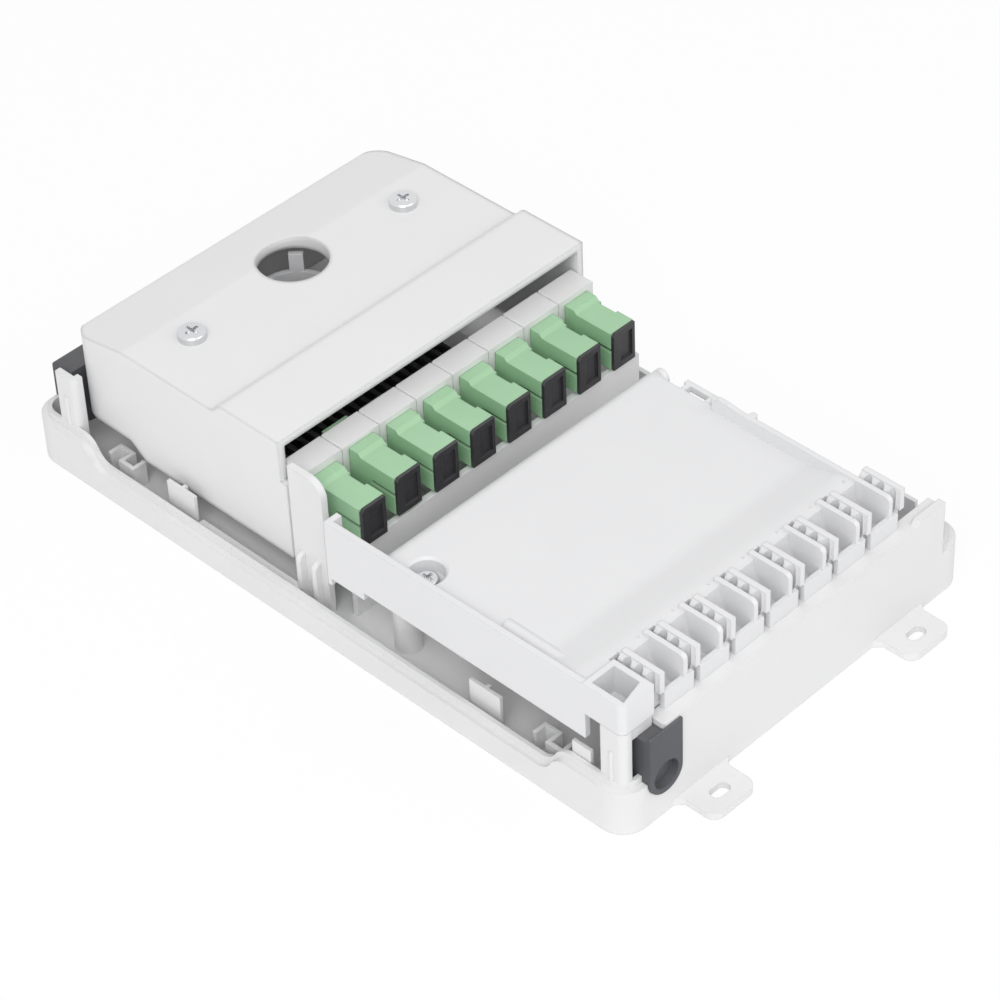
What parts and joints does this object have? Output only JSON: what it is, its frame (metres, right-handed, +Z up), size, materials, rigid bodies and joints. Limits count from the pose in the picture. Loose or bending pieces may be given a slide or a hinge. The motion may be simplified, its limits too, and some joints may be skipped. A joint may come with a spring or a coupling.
{
  "type": "fibre termination box",
  "caption": "Fibre termination box with its lid off: stepped base, row of square adapters with dust caps, comb-ended fibre tray and a screwed cover over the splice room.",
  "frame": {"origin": "centre of the footprint, ears included, on the underside of the base", "axes": "+X across the adapter row to the right, +Y from the cable exits to the splice room, +Z up out of the open box"},
  "size_m": [0.14, 0.261, 0.053],
  "materials": {
    "grey_body": "fine satin",
    "grey_carrier": "fine satin",
    "grey_inner": "fine satin",
    "adapter_green": "satin",
    "cap_black": "satin",
    "dark_rubber": "dull",
    "screw_steel": "zinc plated",
    "sleeve_bronze": "bright"
  },
  "bodies": {
    "box": {"base": "grey_body", "front_tray": "grey_body", "splice_cover": "grey_body", "splice_tray": "grey_inner", "splice_holder": "dark_rubber", "front_grommet": "dark_rubber", "rear_grommet": "dark_rubber", "cover_screws": "screw_steel", "tray_screws": "screw_steel", "carrier_1": "grey_carrier", "carrier_2": "grey_carrier", "carrier_3": "grey_carrier", "carrier_4": "grey_carrier", "carrier_5": "grey_carrier", "carrier_6": "grey_carrier", "carrier_7": "grey_carrier", "carrier_8": "grey_carrier", "adapter_1": "adapter_green", "adapter_2": "adapter_green", "adapter_3": "adapter_green", "adapter_4": "adapter_green", "adapter_5": "adapter_green", "adapter_6": "adapter_green", "adapter_7": "adapter_green", "adapter_8": "adapter_green", "sleeve_1": "sleeve_bronze", "sleeve_2": "sleeve_bronze", "sleeve_3": "sleeve_bronze", "sleeve_4": "sleeve_bronze", "sleeve_5": "sleeve_bronze", "sleeve_6": "sleeve_bronze", "sleeve_7": "sleeve_bronze", "sleeve_8": "sleeve_bronze"},
    "cap_1": {"dust_cap_1": "cap_black"},
    "cap_2": {"dust_cap_2": "cap_black"},
    "cap_3": {"dust_cap_3": "cap_black"},
    "cap_4": {"dust_cap_4": "cap_black"},
    "cap_5": {"dust_cap_5": "cap_black"},
    "cap_6": {"dust_cap_6": "cap_black"},
    "cap_7": {"dust_cap_7": "cap_black"},
    "cap_8": {"dust_cap_8": "cap_black"}
  },
  "joints": [
    {"name": "cap_1_pull", "type": "slide", "parent": "box", "child": "cap_1", "axis": [0, -1, 0], "range_m": [0, 0.012]},
    {"name": "cap_2_pull", "type": "slide", "parent": "box", "child": "cap_2", "axis": [0, -1, 0], "range_m": [0, 0.012]},
    {"name": "cap_3_pull", "type": "slide", "parent": "box", "child": "cap_3", "axis": [0, -1, 0], "range_m": [0, 0.012]},
    {"name": "cap_4_pull", "type": "slide", "parent": "box", "child": "cap_4", "axis": [0, -1, 0], "range_m": [0, 0.012]},
    {"name": "cap_5_pull", "type": "slide", "parent": "box", "child": "cap_5", "axis": [0, -1, 0], "range_m": [0, 0.012]},
    {"name": "cap_6_pull", "type": "slide", "parent": "box", "child": "cap_6", "axis": [0, -1, 0], "range_m": [0, 0.012]},
    {"name": "cap_7_pull", "type": "slide", "parent": "box", "child": "cap_7", "axis": [0, -1, 0], "range_m": [0, 0.012]},
    {"name": "cap_8_pull", "type": "slide", "parent": "box", "child": "cap_8", "axis": [0, -1, 0], "range_m": [0, 0.012]}
  ]
}
